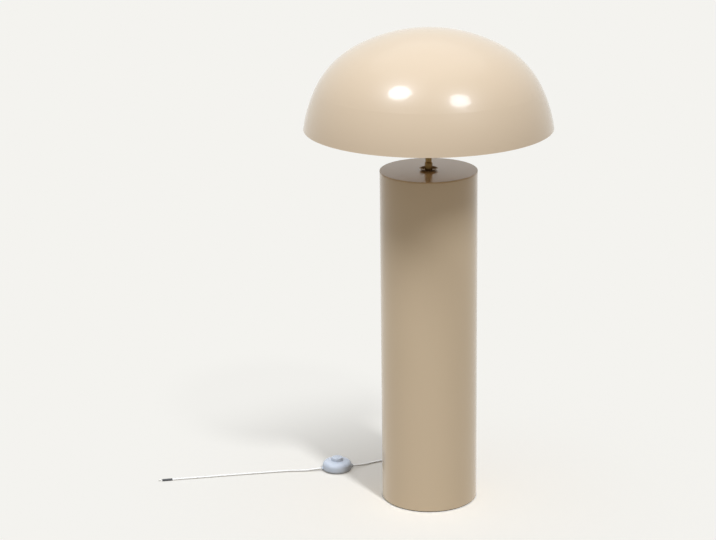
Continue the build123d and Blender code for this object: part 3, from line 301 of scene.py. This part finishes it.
# %% Turn a hex colour into light
def linear(hex_code):
    """The linear colour of an sRGB hex value such as #E0CDAE."""
    shares = [int(hex_code[i : i + 2], 16) / 255 for i in (1, 3, 5)]
    return (*[s / 12.92 if s <= 0.04045 else ((s + 0.055) / 1.055) ** 2.4 for s in shares], 1.0)


print("mid grey #808080 is", round(linear("#808080")[0], 3), "in light")


# %% Add a shader node
def add_node(material, kind, settings=None, inputs=None):
    """Adds one node. settings are its own properties, inputs the values or sockets it is fed."""
    tree = material.node_tree
    node = tree.nodes.new(kind)
    for name, value in (settings or {}).items():
        setattr(node, name, value)
    for name, value in (inputs or {}).items():
        if isinstance(value, bpy.types.NodeSocket):
            tree.links.new(value, node.inputs[name])
        else:
            node.inputs[name].default_value = value
    return node


def blank_material(name):
    """A material with an empty node tree."""
    material = bpy.data.materials.new(name)
    material.use_nodes = True
    material.node_tree.nodes.clear()
    return material


print("node helpers are ready")

# %% [markdown]
# ## Lacquered enamel on spun steel
#
# The column and the dome are steel, primed and sprayed with a pale sand enamel under clear
# lacquer. The enamel itself is satin, so it shades softly. The lacquer over it is glossier, and
# mirrors the soft boxes in the dome and the neck in the column's top. One glossy layer could give
# the mirror or the soft shading, but not both, so a coat lies over the base as the lacquer does.
# Sprayed paint levels out before it sets, but never quite: a faint ripple a few millimetres wide,
# which painters call orange peel, stays in it. A noise texture gives that ripple as a bump of a few
# hundredths of a millimetre, and a second, broad noise lets the colour drift by a percent or two.

# %% Mix the sand enamel
PEEL_WIDTH = 4 * MM
PEEL_DEPTH = 0.02 * MM
DRIFT_WIDTH = 166.7 * MM  # how wide the patches are over which the colour drifts
GLOSS_DRIFT = 0.02  # how far the roughness drifts with it, up and down


def sand_enamel(name, pale, deep, roughness, lacquer):
    """Satin enamel with orange peel and a slight drift of colour, under lacquer of its own."""
    material = blank_material(name)
    place = add_node(material, "ShaderNodeTexCoord").outputs["Object"]
    drift = add_node(
        material,
        "ShaderNodeTexNoise",
        inputs={"Vector": place, "Scale": 1 / DRIFT_WIDTH, "Detail": 2.0},
    )
    colour = add_node(
        material,
        "ShaderNodeMix",
        {"data_type": "RGBA"},
        {0: drift.outputs["Fac"], 6: linear(pale), 7: linear(deep)},
    )
    gloss = add_node(
        material,
        "ShaderNodeMapRange",
        inputs={
            "Value": drift.outputs["Fac"],
            "To Min": roughness - GLOSS_DRIFT,
            "To Max": roughness + GLOSS_DRIFT,
        },
    )
    peel = add_node(
        material,
        "ShaderNodeTexNoise",
        inputs={"Vector": place, "Scale": 1 / PEEL_WIDTH, "Detail": 1.0},
    )
    bump = add_node(
        material,
        "ShaderNodeBump",
        inputs={"Height": peel.outputs["Fac"], "Distance": PEEL_DEPTH, "Strength": 0.5},
    )
    enamel = add_node(
        material,
        "ShaderNodeBsdfPrincipled",
        inputs={
            "Base Color": colour.outputs[2],
            "Roughness": gloss.outputs["Result"],
            "IOR": 1.45,
            "Coat Weight": 1.0,
            "Coat Roughness": lacquer,
            "Coat IOR": 1.3,
            "Normal": bump.outputs["Normal"],
        },
    )
    add_node(material, "ShaderNodeOutputMaterial", inputs={"Surface": enamel.outputs["BSDF"]})
    return material


# The column's lacquer is polished, the plate's is satin, and the dome's lies between them.
# The plate has the column's paint, made darker and warmer as painted shade from the dome above it.
column_enamel = sand_enamel(
    "sand_satin_enamel_column", "#E1C9A8", "#DEC7A5", roughness=0.35, lacquer=0.04
)
plate_enamel_painted_shade = sand_enamel(
    "sand_enamel_plate_painted_shade", "#D6B88C", "#D2B488", roughness=0.4, lacquer=0.2
)
shade_enamel = sand_enamel(
    "sand_satin_enamel_shade", "#DFC8AA", "#DCC5A7", roughness=0.36, lacquer=0.12
)
print("mixed 3 enamels")

# %% [markdown]
# ## Metals
#
# The neck is satin brass, darker than bare brass: painted shade and a painted reflection of the
# dome's dark inside. The fasteners and brackets are zinc plated, which shows as a grey metal with a
# faint spangle. The ballast is a raw iron casting, sandy and dark. The contacts are bright brass.
# Each could have a recipe of its own, but they differ only in colour, polish and grain, so one
# recipe serves them all. A metal keeps the default index of refraction.

# %% Mix the metals
PATCH_GLOSS = 0.2  # the share by which the roughness varies from patch to patch


def metal(name, bright, dull, roughness, grain, grain_depth):
    """A metal with bright and dull patches as wide as its grain, in a relief of grain_depth."""
    material = blank_material(name)
    place = add_node(material, "ShaderNodeTexCoord").outputs["Object"]
    patches = add_node(
        material,
        "ShaderNodeTexNoise",
        inputs={"Vector": place, "Scale": 1 / grain, "Detail": 4.0},
    )
    colour = add_node(
        material,
        "ShaderNodeMix",
        {"data_type": "RGBA"},
        {0: patches.outputs["Fac"], 6: linear(bright), 7: linear(dull)},
    )
    gloss = add_node(
        material,
        "ShaderNodeMapRange",
        inputs={
            "Value": patches.outputs["Fac"],
            "To Min": roughness * (1 - PATCH_GLOSS),
            "To Max": roughness * (1 + PATCH_GLOSS),
        },
    )
    bump = add_node(
        material,
        "ShaderNodeBump",
        inputs={"Height": patches.outputs["Fac"], "Distance": grain_depth, "Strength": 0.6},
    )
    surface = add_node(
        material,
        "ShaderNodeBsdfPrincipled",
        inputs={
            "Base Color": colour.outputs[2],
            "Metallic": 1.0,
            "Roughness": gloss.outputs["Result"],
            "Normal": bump.outputs["Normal"],
        },
    )
    add_node(material, "ShaderNodeOutputMaterial", inputs={"Surface": surface.outputs["BSDF"]})
    return material


# Each has its two colours, its roughness, and the width and depth of its grain.

# The brass is darker than bare brass: painted shade and a painted reflection of the dome's dark
# inside. Its colour is patchy and its shine is dull.
brass_painted_shade = metal("satin_brass_painted_shade", "#96794D", "#7C6339", 0.34, 6 * MM, 0.01 * MM)
# Bright zinc plating is grey with a faint spangle.
zinc_plate = metal("zinc_plated_steel", "#C9CBCD", "#B4B7BA", 0.32, 2 * MM, 0.01 * MM)
# The sand of the mould leaves cast iron dark and rough. Its grain is drawn coarser than real sand,
# which would be too fine to show.
cast_iron = metal("raw_cast_iron", "#5A5A5C", "#3E3E40", 0.62, 1.2 * MM, 0.12 * MM)
# Stamped contacts stay as bright as the rolled strip that they were cut from.
bright_brass = metal("bright_contact_brass", "#D9B568", "#C9A458", 0.2, 4 * MM, 0.005 * MM)
# Nickel on the bulb's cap gives a warm, mirror-like grey.
nickel_plate = metal("nickel_plated_brass", "#CFCDC8", "#BDBBB5", 0.22, 3 * MM, 0.005 * MM)
# Tin over copper is a soft, pale grey.
tinned_copper = metal("tinned_copper_strands", "#D0CFCB", "#B9B5AC", 0.35, 1 * MM, 0.005 * MM)
print("mixed 6 metals")

# %% [markdown]
# ## Plastics, rubber, ceramic and powder coat
#
# Moulded plastics differ mostly in how much light goes into them. The foot switch and the cord are
# pale and let light in a little. Transmission could give that too, but it is slow and noisy, so
# subsurface scattering does. The lamp holder and the rubber feet are dense and dark. All of them
# carry the fine, even grain of their mould, and ceramic, cap glass and powder coat follow the same
# recipe with a grain of their own.

# %% Mix the plastics
LIGHT_SHARE = 0.35  # how much of the light a pale plastic lets in


def moulded(name, base, shade, roughness, grain, grain_depth, depth=0.0):
    """A moulded or sprayed surface that is no metal. depth is how far light goes into it."""
    material = blank_material(name)
    place = add_node(material, "ShaderNodeTexCoord").outputs["Object"]
    texture = add_node(
        material,
        "ShaderNodeTexNoise",
        inputs={"Vector": place, "Scale": 1 / grain, "Detail": 3.0},
    )
    colour = add_node(
        material,
        "ShaderNodeMix",
        {"data_type": "RGBA"},
        {0: texture.outputs["Fac"], 6: linear(base), 7: linear(shade)},
    )
    bump = add_node(
        material,
        "ShaderNodeBump",
        inputs={"Height": texture.outputs["Fac"], "Distance": grain_depth, "Strength": 0.5},
    )
    surface = add_node(
        material,
        "ShaderNodeBsdfPrincipled",
        inputs={
            "Base Color": colour.outputs[2],
            "Roughness": roughness,
            "IOR": 1.5,
            "Subsurface Weight": LIGHT_SHARE if depth else 0.0,
            "Subsurface Radius": (1.0, 1.0, 1.0),
            "Subsurface Scale": depth,
            "Normal": bump.outputs["Normal"],
        },
    )
    add_node(material, "ShaderNodeOutputMaterial", inputs={"Surface": surface.outputs["BSDF"]})
    return material


# Each has its two colours, its roughness, and the width and depth of its grain.

# Polycarbonate from a polished mould is glossy, and its pale blue lets a little light in.
switch_plastic = moulded(
    "pale_polycarbonate", "#C3CAD4", "#BDC4CE", 0.3, 3 * MM, 0.01 * MM, depth=2 * MM
)
# Nylon is waxy: half matt, and even in colour.
inner_plastic = moulded("white_nylon", "#E4E3DF", "#DCDBD6", 0.5, 2 * MM, 0.02 * MM)
gland_nylon = moulded("grey_nylon", "#CDCFD0", "#C4C6C7", 0.45, 2 * MM, 0.02 * MM)
# The cord's clear PVC shows its pale cores through it, and its skin is smooth from the extruder.
cord_pvc = moulded("pale_clear_pvc", "#E8E7E3", "#DEDDD9", 0.35, 2 * MM, 0.01 * MM, depth=1 * MM)
# The cores' PVC is dense, in the brown of a live wire.
core_pvc = moulded("brown_core_pvc", "#6B4630", "#5F3D2A", 0.4, 2 * MM, 0.01 * MM)
# Phenolic is hard, black and glossy from its press.
holder_phenolic = moulded("black_phenolic", "#1B1A1A", "#242322", 0.28, 1.5 * MM, 0.02 * MM)
# Rubber and heat-shrink sleeve are dull, and scatter nearly all the light that they throw back.
black_rubber = moulded("black_rubber", "#2A2A2B", "#323233", 0.75, 0.8 * MM, 0.05 * MM)
grey_rubber = moulded("dark_grey_heat_shrink", "#4A4A4C", "#424244", 0.5, 1.5 * MM, 0.05 * MM)
# Steatite has no glaze here, so it is chalky.
porcelain = moulded("unglazed_steatite", "#ECE7DC", "#E4DED1", 0.55, 1 * MM, 0.03 * MM)
# The cap's insulator is black glass that was poured round the contact, so it is smooth and glossy.
black_glass = moulded("black_cap_glass", "#101010", "#161616", 0.15, 3 * MM, 0.005 * MM)
# Powder coat melts into a fine, even texture, coarser than sprayed enamel's.
black_powder = moulded("black_powder_coat", "#2B2B2C", "#323233", 0.55, 0.8 * MM, 0.05 * MM)
white_powder = moulded("white_powder_coat", "#E9E4DA", "#E2DDD2", 0.42, 1.0 * MM, 0.04 * MM)
print("mixed 12 plastics, rubbers, ceramics and powder coats")

# %% [markdown]
# ## Glass
#
# The bulb is opal: clear glass with a thin white coat inside, so it scatters light and hides what
# it holds. The coat could be a shell of its own inside the glass. From outside, a material that is
# partly clear and partly white looks the same, and needs no second wall. The stem inside is clear
# lead glass.

# %% Mix the glass
WAVE_WIDTH = 12 * MM  # blown glass is faintly wavy
WAVE_DRIFT = 0.03  # how far the roughness drifts with the waves, up and down


def bulb_glass(name, tint, roughness, clear):
    """Glass with a share of clear transmission; the rest is a white coat."""
    material = blank_material(name)
    place = add_node(material, "ShaderNodeTexCoord").outputs["Object"]
    waves = add_node(
        material,
        "ShaderNodeTexNoise",
        inputs={"Vector": place, "Scale": 1 / WAVE_WIDTH, "Detail": 1.0},
    )
    gloss = add_node(
        material,
        "ShaderNodeMapRange",
        inputs={
            "Value": waves.outputs["Fac"],
            "To Min": roughness - WAVE_DRIFT,
            "To Max": roughness + WAVE_DRIFT,
        },
    )
    surface = add_node(
        material,
        "ShaderNodeBsdfPrincipled",
        inputs={
            "Base Color": linear(tint),
            "Roughness": gloss.outputs["Result"],
            "IOR": 1.5,
            "Transmission Weight": clear,
        },
    )
    add_node(material, "ShaderNodeOutputMaterial", inputs={"Surface": surface.outputs["BSDF"]})
    return material


# The coat makes the envelope's glass milky. The stem was melted in a flame, so it is clear.
opal_glass = bulb_glass("opal_glass", "#F4F3EF", roughness=0.12, clear=0.35)
clear_glass = bulb_glass("clear_lead_glass", "#F2F3EE", roughness=0.05, clear=0.9)
print("mixed", opal_glass.name, "and", clear_glass.name)

# %% [markdown]
# ## Finishes for the CAD nodes
#
# Each CAD node keeps its shape and gets the finish that the real piece has. A line for every node
# would work too, but a table by finish shows at once which pieces share one.

# %% Give every node its finish
FINISHES = {
    column_enamel: ["column_tube"],
    plate_enamel_painted_shade: ["column_top_plate"],
    shade_enamel: ["shade_shell"],
    brass_painted_shade: ["seat_dish", "neck_collar", "neck_tube"],
    zinc_plate: [
        "column_brackets", "bottom_screws", "ballast_bolt", "ballast_washer", "ballast_nut",
        "threaded_nipple", "under_washer", "under_nut", "shade_screws", "shade_nuts",
        "switch_spring", "switch_terminal_screws", "switch_clamp_screws", "switch_case_screws",
    ],
    cast_iron: ["ballast_disc"],
    bright_brass: [
        "holder_shell", "holder_contact", "holder_terminals", "switch_bridge", "switch_contacts",
        "switch_neutral_link",
    ],
    nickel_plate: ["bulb_cap", "bulb_tip"],
    tinned_copper: ["cord_end_tips"],
    switch_plastic: ["switch_base", "switch_cover", "switch_button"],
    inner_plastic: ["switch_plunger", "switch_rotor", "switch_clamps"],
    gland_nylon: ["cord_gland", "gland_nut"],
    cord_pvc: ["internal_lead", "switch_cord_tails", "cord_to_switch", "cord_to_end"],
    core_pvc: ["holder_cores", "switch_cores"],
    holder_phenolic: ["holder_cap", "holder_body", "shade_ring_lower", "shade_ring_upper"],
    black_rubber: ["foot_pad", "switch_feet"],
    grey_rubber: ["cord_end_sleeve"],
    porcelain: ["holder_insert"],
    black_glass: ["bulb_insulator"],
    black_powder: ["bottom_plate"],
    white_powder: ["shade_spider", "shade_lugs"],
    opal_glass: ["bulb_envelope"],
    clear_glass: ["bulb_stem"],
}


def finish_node(name, material):
    """Gives a CAD node one material."""
    materials = nodes[name].data.materials
    materials.clear()
    materials.append(material)


for material, names in FINISHES.items():
    for name in names:
        finish_node(name, material)

for cord in (first_cord, second_cord):
    cord.data.materials.append(cord_pvc)
bare_strands.data.materials.append(tinned_copper)
spring.data.materials.append(zinc_plate)

finished = sum(len(names) for names in FINISHES.values())
print(finished, "of", len(nodes), "nodes have their finish")

# %% [markdown]
# ## The lamps
#
# The photograph has one shadow, which falls to the left, and two soft highlights on the dome. A key
# lamp throws that shadow. Two soft boxes are what the dome mirrors, and a third one, above and
# behind, gives the dome its pale top. Area lamps are nearer to a real studio's, but they light a
# wide floor unevenly. So all four are suns: a sun's light is the same wherever it falls, and the
# width of its disc makes it hard or soft.

# %% Hang the lamps
KEY_LIGHT = 1.05
KEY_HEIGHT = 51.0  # degrees above the floor
DAYLIGHT = "#EDF4FF"  # the soft boxes are a little cooler than the room


def add_sun(name, azimuth, elevation, strength, disc):
    """A sun that shines from that azimuth and elevation, with a disc that wide, in degrees."""
    data = bpy.data.lights.new(name, "SUN")
    data.energy = strength
    data.angle = radians(disc)
    sun = bpy.data.objects.new(name, data)
    bpy.context.scene.collection.objects.link(sun)
    turn = Matrix.Rotation(radians(azimuth + 90), 4, "Z")
    tip = Matrix.Rotation(radians(90 - elevation), 4, "X")
    sun.matrix_world = turn @ tip
    return sun


# The front is at azimuth -90.
key = add_sun("key_from_the_right", azimuth=-58.0, elevation=KEY_HEIGHT, strength=KEY_LIGHT, disc=6)
key.visible_glossy = False  # the photograph shows no mirror image of it
right_box = add_sun("soft_box_right", azimuth=-47.0, elevation=50.5, strength=1.38, disc=17)
left_box = add_sun("soft_box_left", azimuth=-139.6, elevation=60.6, strength=1.82, disc=18)
top_box = add_sun("soft_box_above", azimuth=90.0, elevation=68.0, strength=0.33, disc=60)
print("hung", len(bpy.data.lights), "lamps")

# %% [markdown]
# ## The background
#
# Behind the lamp is one even, pale colour. A world of that colour at full strength would light the
# lamp from all sides and wash out its shading. So it shows one thing and lights with another: to
# the camera, to mirrors and through glass it is the background, and all other light that it sends
# is dimmer and neutral.

# %% Paint the background
BACKGROUND = "#F4F3EF"
ROOM_LIGHT = 0.36


def seen_share(material):
    """1 for a ray from the camera, a mirror or clear glass, and 0 for diffuse light."""
    ray = add_node(material, "ShaderNodeLightPath").outputs
    seen = add_node(
        material,
        "ShaderNodeMath",
        {"operation": "MAXIMUM"},
        {0: ray["Is Camera Ray"], 1: ray["Is Glossy Ray"]},
    )
    clear = add_node(
        material,
        "ShaderNodeMath",
        {"operation": "MAXIMUM"},
        {0: seen.outputs[0], 1: ray["Is Transmission Ray"]},
    )
    return clear.outputs[0]


def studio_world():
    """The background colour where it is seen, and a dimmer, neutral light where it lights."""
    world = bpy.data.worlds.new("studio")
    world.use_nodes = True
    world.node_tree.nodes.clear()
    bpy.context.scene.world = world
    light = add_node(
        world, "ShaderNodeBackground", inputs={"Color": (1, 1, 1, 1), "Strength": ROOM_LIGHT}
    )
    backdrop = add_node(
        world, "ShaderNodeBackground", inputs={"Color": linear(BACKGROUND), "Strength": 1.0}
    )
    mixed = add_node(
        world,
        "ShaderNodeMixShader",
        inputs={0: seen_share(world), 1: light.outputs[0], 2: backdrop.outputs[0]},
    )
    add_node(world, "ShaderNodeOutputWorld", inputs={"Surface": mixed.outputs[0]})


studio_world()
print("background", BACKGROUND, "and room light", ROOM_LIGHT)

# %% [markdown]
# ## The floor
#
# The floor has the background's colour too, so only the shadow shows that it is there. A plain matt
# plane would show a horizon and a grey gradient. This one adds just the glow that the room and the
# key leave missing, so it equals the background wherever nothing shades it. Its share of paint
# falls with the distance from the column, and with it the shadow fades as the photograph's does.

# %% Lay the floor
FLOOR_BOUNCE = "#AC9F87"  # what the floor throws back at the lamp, warm as in the photograph
FLOOR_HALF = 20.0  # metres from its middle to its sides
FLOOR_DROP = 0.2 * MM  # so that it doesn't lie in the foot pad's face
# How bright the room and the key make white paint. The floor's glow makes up the rest.
FLOOR_LIT = ROOM_LIGHT + KEY_LIGHT * sin(radians(KEY_HEIGHT)) / pi
SHADOW_NEAR = 1.5  # how much deeper than a plain matt floor's the shadow is beside the column
SHADOW_LAST = 0.1  # and how deep it is far off
SHADOW_FROM = 0.12  # metres from the column's axis where it begins to fade
SHADOW_TO = 0.74  # and where it has faded


def floor_material():
    """Matt paint that the lamps light, evened out to the background's colour where it is seen."""
    material = blank_material("matt_studio_floor")
    seen = seen_share(material)
    place = add_node(material, "ShaderNodeTexCoord").outputs["Object"]
    far = add_node(material, "ShaderNodeVectorMath", {"operation": "LENGTH"}, {"Vector": place})
    depth = add_node(
        material,
        "ShaderNodeMapRange",
        {"interpolation_type": "SMOOTHSTEP"},
        {
            "Value": far.outputs["Value"],
            "From Min": SHADOW_FROM,
            "From Max": SHADOW_TO,
            "To Min": SHADOW_NEAR,
            "To Max": SHADOW_LAST,
        },
    )
    paint = add_node(
        material,
        "ShaderNodeVectorMath",
        {"operation": "SCALE"},
        {"Vector": linear(BACKGROUND)[:3], "Scale": depth.outputs["Result"]},
    )
    colour = add_node(
        material,
        "ShaderNodeMix",
        {"data_type": "RGBA"},
        {0: seen, 6: linear(FLOOR_BOUNCE), 7: paint.outputs["Vector"]},
    )
    matt = add_node(material, "ShaderNodeBsdfDiffuse", inputs={"Color": colour.outputs[2]})
    lit = add_node(
        material,
        "ShaderNodeMath",
        {"operation": "MULTIPLY"},
        {0: depth.outputs["Result"], 1: FLOOR_LIT},
    )
    rest = add_node(
        material, "ShaderNodeMath", {"operation": "SUBTRACT"}, {0: 1.0, 1: lit.outputs[0]}
    )
    shown = add_node(
        material, "ShaderNodeMath", {"operation": "MULTIPLY"}, {0: rest.outputs[0], 1: seen}
    )
    glow = add_node(
        material,
        "ShaderNodeEmission",
        inputs={"Color": linear(BACKGROUND), "Strength": shown.outputs[0]},
    )
    both = add_node(
        material, "ShaderNodeAddShader", inputs={0: matt.outputs[0], 1: glow.outputs[0]}
    )
    add_node(material, "ShaderNodeOutputMaterial", inputs={"Surface": both.outputs[0]})
    return material


def add_floor():
    """One square plane under the lamp."""
    mesh = bpy.data.meshes.new("studio_floor")
    shape = bmesh.new()
    bmesh.ops.create_grid(shape, x_segments=1, y_segments=1, size=FLOOR_HALF)
    bmesh.ops.translate(shape, verts=shape.verts, vec=Vector((0, 0, -FLOOR_DROP)))
    shape.to_mesh(mesh)
    shape.free()
    floor = bpy.data.objects.new("studio_floor", mesh)
    bpy.context.scene.collection.objects.link(floor)
    mesh.materials.append(floor_material())
    return floor


floor = add_floor()
print("floor of", 2 * FLOOR_HALF, "m")

# %% [markdown]
# ## Which lamp lights what
#
# In the photograph the soft boxes cast no shadow on the floor, and the key leaves no highlight on
# the dome. Two renders, laid over each other, could give that, but only from one side. Light
# linking gives it from every side: the key lights the floor and what lies on it, and the soft
# boxes light all but the floor.


# %% Link the lamps
def link_light(sun, things, state):
    """INCLUDE lets that sun light those things alone, and EXCLUDE lets it light all but them."""
    group = bpy.data.collections.new("linked_to_" + sun.name)
    for thing in things:
        group.objects.link(thing)
    for linked in group.collection_objects:
        linked.light_linking.link_state = state
    sun.light_linking.receiver_collection = group


cord_end = [nodes["cord_end_sleeve"], bare_strands]
on_the_floor = [first_cord, second_cord, *switch_pieces, spring, *cord_end]
link_light(key, [floor, *on_the_floor], "INCLUDE")
for box in (left_box, right_box, top_box):
    box.data.color = linear(DAYLIGHT)[:3]
    link_light(box, [floor], "EXCLUDE")
bpy.context.scene.view_settings.view_transform = "Standard"
print("the key lights the floor and", len(on_the_floor), "pieces on it")

# %% [markdown]
# ## Finish
#
# Last, the view layer is brought up to date.

# %% Update the view layer and finish
bpy.context.view_layer.update()
